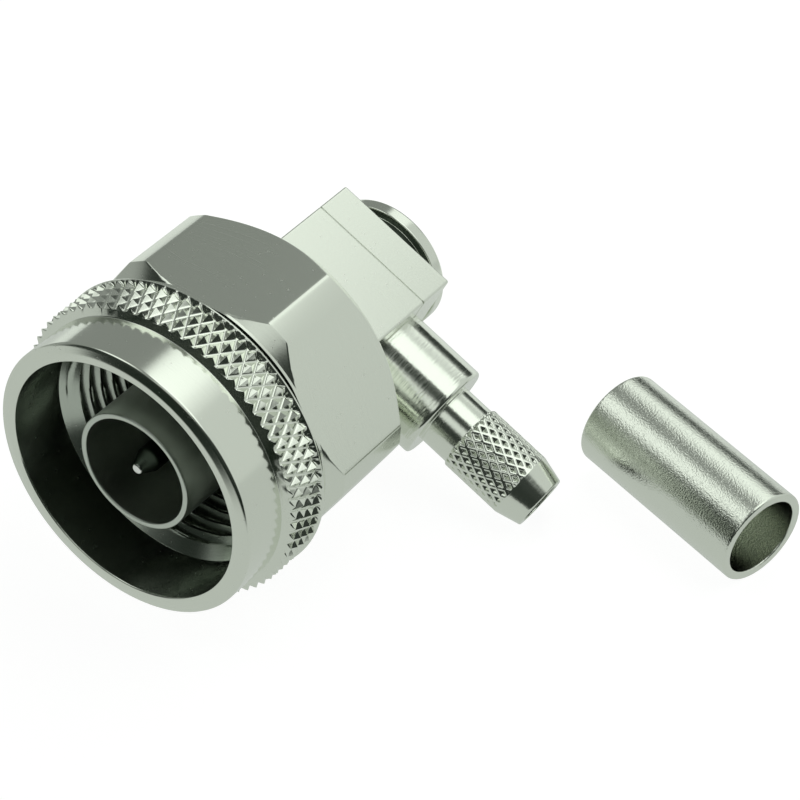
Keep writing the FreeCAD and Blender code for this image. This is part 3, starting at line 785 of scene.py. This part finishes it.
# Painted shade: darker nickel deep in the nut's bore.
bore_shade_nickel = nickel("Bore nickel with painted shade", 0.20, 5.0, 3e-6, 2e-6, color=(0.52, 0.56, 0.50))
stem_nickel = nickel("Stem nickel", 0.15, 5.0, 8e-6, 3e-6)
collar_nickel = nickel("Roughly turned nickel", 0.11, 5.5, 3.2e-5, 2e-6)
satin_nickel = nickel("Tumbled satin nickel", 0.11, 1.0, 1e-6, 2.2e-5, grains=9000.0)
# Painted shade: the contact sleeve deep in the nut's mouth gets a darker nickel.
sleeve_shade_nickel = nickel("Sleeve nickel with painted shade", 0.32, 5.0, 1e-6, 6e-7, color=(0.62, 0.66, 0.60))
pin_silver = nickel("Pin silver", 0.15, 5.0, 5e-7, 3e-7, color=(0.86, 0.86, 0.84))
bronze = nickel("Spring bronze", 0.3, 4.0, 1e-6, 1e-6, color=(0.62, 0.44, 0.24))

# The pin beyond its very point is painted near black, as painted shade deep in the sleeve; only the point keeps
# bright silver.
tree = pin_silver.node_tree
coordinates = tree.nodes.new("ShaderNodeTexCoord")
split = tree.nodes.new("ShaderNodeSeparateXYZ")
tree.links.new(coordinates.outputs["UV"], split.inputs[0])
beyond_point = add_band(tree, split.outputs[1], POINT_LENGTH - 0.06, POINT_LENGTH + 0.06)
pin_shade_mix = tree.nodes.new("ShaderNodeMix")
pin_shade_mix.data_type = "RGBA"
tree.links.new(beyond_point, pin_shade_mix.inputs["Factor"])
pin_shade_mix.inputs[6].default_value = (0.90, 0.90, 0.88, 1)
# Painted shade: near-black silver on the pin behind its point.
pin_shade_mix.inputs[7].default_value = (0.10, 0.12, 0.10, 1)
tree.links.new(pin_shade_mix.outputs[2], tree.nodes["Principled BSDF"].inputs["Base Color"])


def plain(name, color, grains, grain_height, smooth, spread):
    """Plastic or rubber with a grain; its roughness is smooth plus a spread that changes in patches."""
    material, tree, shader = new_material(name)
    shader.inputs["Base Color"].default_value = (*color, 1)
    coordinates = tree.nodes.new("ShaderNodeTexCoord")
    surface = use_group(tree, grain, Position=coordinates.outputs["Object"], Grains_per_metre=grains)
    tree.links.new(add_bump(tree, surface.outputs["Height"], grain_height), shader.inputs["Normal"])
    rough = add_math(tree, "MULTIPLY_ADD", surface.outputs["Patch"], spread, smooth)
    tree.links.new(rough, shader.inputs["Roughness"])
    return material


white_plastic = plain("White fluoropolymer", (0.80, 0.80, 0.77), 3000.0, 2e-6, 0.4, 0.2)
dark_rubber = plain("Dark silicone", (0.02, 0.02, 0.02), 5000.0, 4e-6, 0.45, 0.3)
print("materials:", ", ".join(material.name for material in bpy.data.materials))

# %% [markdown]
# Each of these pieces is listed with one slot name for the whole product, and the nut, the cap and the stem
# have more than one surface in it: the cap's neck gets painted shade under its flange, and the stem's
# collar is turned more roughly than its tube.

# %% Which piece gets which material
def face_places(piece, axis, origin):
    """Depth along an axis and distance from it, both in mm, of each face of a piece."""
    local = 1000 * (np.array([tuple(face.center) for face in piece.data.polygons]) - origin)
    depth = local @ axis
    return depth, np.linalg.norm(local - np.outer(depth, axis), axis=1)


nut_materials = (bright_nickel, flat_nickel, knurl_nickel, recess_shade_nickel, bore_shade_nickel)
for piece, slot, materials in (
        (coupling_nut, "nickel_plate", nut_materials),
        (contact_body, "nickel_plate", (sleeve_shade_nickel,)),
        (elbow_block, "nickel_plate", (block_nickel,)),
        (rear_cap, "nickel_plate", (bright_nickel, recess_shade_nickel)),
        (crimp_stem, "nickel_plate", (stem_nickel, collar_nickel)),
        (crimp_ferrule, "nickel_satin", (satin_nickel,)),
        (centre_pin, "silver_plate", (pin_silver,))):
    for material in materials:
        piece.data.materials.append(material)
cap_depth, cap_radius = face_places(rear_cap, plug_axes[1], plug_origin)
behind_block = cap_depth > BLOCK_REAR + 0.03
on_neck = behind_block & (cap_depth < FLANGE_FRONT - 0.03) & (cap_radius < CAP_NECK + 0.1)
# The neck under the flange gets the nickel with painted shade.
rear_cap.data.polygons.foreach_set("material_index", on_neck.astype(np.int32))
stem_place, stem_distance = face_places(crimp_stem, stem_axes[1], stem_origin)
on_collar = (stem_place < 9.6) & (stem_distance > COLLAR_RADIUS - 0.1)
crimp_stem.data.polygons.foreach_set("material_index", on_collar.astype(np.int32))
print("faces of the neck and of the collar:", on_neck.sum(), on_collar.sum())
for node, material in (
        ("snap_ring", bronze), ("gasket", dark_rubber), ("front_insulator", white_plastic),
        ("rear_insulator", white_plastic), ("stem_insulator", white_plastic)):
    frame["nodes"][node].data.materials.clear()
    frame["nodes"][node].data.materials.append(material)

# %% [markdown]
# ## Light tent
#
# Metal shows what stands round it, so the light is a tent: a dome of white card some 20 cm away,
# with panels, gaps between them and the dark of the room in front. Being so near, it shows its
# panels at another place in the ferrule than in the nut, as in the photograph. Each panel is a
# patch of the dome between two compass directions and two heights, with soft edges.

# %% Dome
DOME_RADIUS = 0.205
dome_turns = np.radians(np.arange(0, 360, 5))
dome_heights = np.radians(np.linspace(-4, 87, 20))[:, None]
dome_sides = np.broadcast_arrays(
    np.cos(dome_heights) * np.sin(dome_turns), np.cos(dome_heights) * np.cos(dome_turns),
    np.sin(dome_heights))
dome_points = DOME_RADIUS * np.stack(dome_sides, -1).reshape(-1, 3)
dome_quads = grid_faces(len(dome_heights), len(dome_turns))[0]
dome_mesh = bpy.data.meshes.new("tent")
top = len(dome_points)
last_ring = top - len(dome_turns) + np.arange(len(dome_turns))
dome_cap = np.column_stack([last_ring, np.roll(last_ring, -1), np.full(len(dome_turns), top)])
dome_mesh.from_pydata(
    dome_points.tolist() + [(0, 0, DOME_RADIUS)], [], dome_quads.tolist() + dome_cap.tolist())
dome = bpy.data.objects.new("tent", dome_mesh)
bpy.context.scene.collection.objects.link(dome)
dome.visible_camera = False
dome.visible_shadow = False


def add_patch(tree, value, turn, height, turn_range, height_range, level, soft):
    """Value socket in which the patch between two turns and two heights, in degrees, has the level."""
    left = add_band(tree, turn, turn_range[0] - soft, turn_range[0] + soft)
    right = add_band(tree, turn, turn_range[1] + soft, turn_range[1] - soft)
    low = add_band(tree, height, height_range[0] - soft, height_range[0] + soft)
    high = add_band(tree, height, height_range[1] + soft, height_range[1] - soft)
    across = add_math(tree, "MULTIPLY", left, right)
    mask = add_math(tree, "MULTIPLY", across, add_math(tree, "MULTIPLY", low, high))
    gain = add_math(tree, "SUBTRACT", level, value)
    return add_math(tree, "MULTIPLY_ADD", mask, gain, value)


def add_tint(tree, value):
    """Emission strength socket turned into a faintly green light, as the photograph has."""
    color = tree.nodes.new("ShaderNodeCombineColor")
    for channel, (gain, lift) in enumerate(((0.95, 0.001), (1.0, 0.006), (0.95, 0.002))):
        tree.links.new(add_math(tree, "MULTIPLY_ADD", value, gain, lift), color.inputs[channel])
    return color.outputs[0]


tent_material = bpy.data.materials.new("Tent panels")
tent_material.use_nodes = True
tree = tent_material.node_tree
tree.nodes.remove(tree.nodes["Principled BSDF"])
coordinates = tree.nodes.new("ShaderNodeTexCoord")
split = tree.nodes.new("ShaderNodeSeparateXYZ")
tree.links.new(coordinates.outputs["Object"], split.inputs[0])
degrees = 180 / math.pi
around_tent = add_math(tree, "ARCTAN2", split.outputs[0], split.outputs[1])
up_tent = add_math(tree, "ARCSINE", add_math(tree, "DIVIDE", split.outputs[2], DOME_RADIUS))
turn = add_math(tree, "MULTIPLY", around_tent, degrees)
height = add_math(tree, "MULTIPLY", up_tent, degrees)

# Card between the panels, and then each panel: from turn to turn, from height to height, its
# level and the softness of its edges. A later one lies over an earlier one.
level = add_math(tree, "ADD", 0.26, 0.0)
for turn_range, height_range, patch_level, soft in (
        ((8, 76), (-20, 54), 0.66, 6.0),
        ((-25, 100), (50, 100), 1.28, 6.0),
        ((-26, 9), (24, 52), 1.06, 4.0),
        ((-22, 8), (-20, 19), 0.04, 6.0),
        ((-138, -74), (43, 69), 1.10, 6.0),
        ((-260, -104), (-20, 42), 0.03, 6.0),
        ((-122, -92), (-20, 18), 0.36, 6.0),
        ((82, 260), (-20, 42), 0.03, 6.0),
        ((100, 156), (30, 76), 0.04, 6.0),
        ((146, 260), (40, 62), 0.80, 6.0),
        ((-260, -164), (40, 62), 0.72, 6.0)):
    level = add_patch(tree, level, turn, height, turn_range, height_range, patch_level, soft)
emission = tree.nodes.new("ShaderNodeEmission")
tree.links.new(add_tint(tree, level), emission.inputs["Color"])
tree.links.new(emission.outputs[0], tree.nodes["Material Output"].inputs["Surface"])
dome_mesh.materials.append(tent_material)

# %% [markdown]
# ## Floor and background
#
# The camera sees a white floor that glows nearly white by itself and takes the rest from the
# tent, so that only a faint shadow is left, and a white background behind it. In the metal the
# same floor shows as painted light: it glows as a light grey card near the plug that ends in darkness in front.

# %% Floor
FLOOR_REACH = 0.8
floor_corners = FLOOR_REACH * np.array([(-1, -1, 0), (1, -1, 0), (1, 1, 0), (-1, 1, 0)])
floor_mesh = bpy.data.meshes.new("floor")
floor_mesh.from_pydata(floor_corners.tolist(), [], [(0, 1, 2, 3)])
floor = bpy.data.objects.new("floor", floor_mesh)
bpy.context.scene.collection.objects.link(floor)
floor_material = bpy.data.materials.new("White card")
floor_material.use_nodes = True
tree = floor_material.node_tree
tree.nodes.remove(tree.nodes["Principled BSDF"])
lit = tree.nodes.new("ShaderNodeBsdfDiffuse")
lit.inputs["Color"].default_value = (0.22, 0.22, 0.22, 1)
glow = tree.nodes.new("ShaderNodeEmission")
glow.inputs["Color"].default_value = (1, 1, 1, 1)
glow.inputs["Strength"].default_value = 0.92
seen = tree.nodes.new("ShaderNodeAddShader")
tree.links.new(lit.outputs[0], seen.inputs[0])
tree.links.new(glow.outputs[0], seen.inputs[1])
coordinates = tree.nodes.new("ShaderNodeTexCoord")
split = tree.nodes.new("ShaderNodeSeparateXYZ")
tree.links.new(coordinates.outputs["Object"], split.inputs[0])
across = split.outputs[0]
behind = split.outputs[1]

# In metres: the card ends along a slanting line in front, and has a painted pool of light behind
# the plug on the left, where the panels stand close to it.
edge = add_math(tree, "MULTIPLY_ADD", across, -0.5, behind)
card = add_band(tree, edge, -0.056, -0.036)
far = add_band(tree, behind, 0.005, 0.035)
bright = add_math(tree, "MULTIPLY", far, add_band(tree, across, 0.03, 0.0))
level = add_math(tree, "MULTIPLY_ADD", bright, 0.24, 0.56)
level = add_math(tree, "MULTIPLY_ADD", add_math(tree, "MULTIPLY", card, level), 1.0, 0.01)
# Rays other than the camera's see this painted light instead of the lit floor.
painted_floor_light = tree.nodes.new("ShaderNodeEmission")
tree.links.new(add_tint(tree, level), painted_floor_light.inputs["Color"])
path_node = tree.nodes.new("ShaderNodeLightPath")
choice = tree.nodes.new("ShaderNodeMixShader")
tree.links.new(path_node.outputs["Is Camera Ray"], choice.inputs[0])
tree.links.new(painted_floor_light.outputs[0], choice.inputs[1])
tree.links.new(seen.outputs[0], choice.inputs[2])
tree.links.new(choice.outputs[0], tree.nodes["Material Output"].inputs["Surface"])
floor_mesh.materials.append(floor_material)

# %% World
world = bpy.data.worlds.new("studio")
bpy.context.scene.world = world
world.use_nodes = True
world.node_tree.nodes["Background"].inputs["Color"].default_value = (1, 1, 1, 1)
bpy.context.scene.view_settings.view_transform = "Standard"
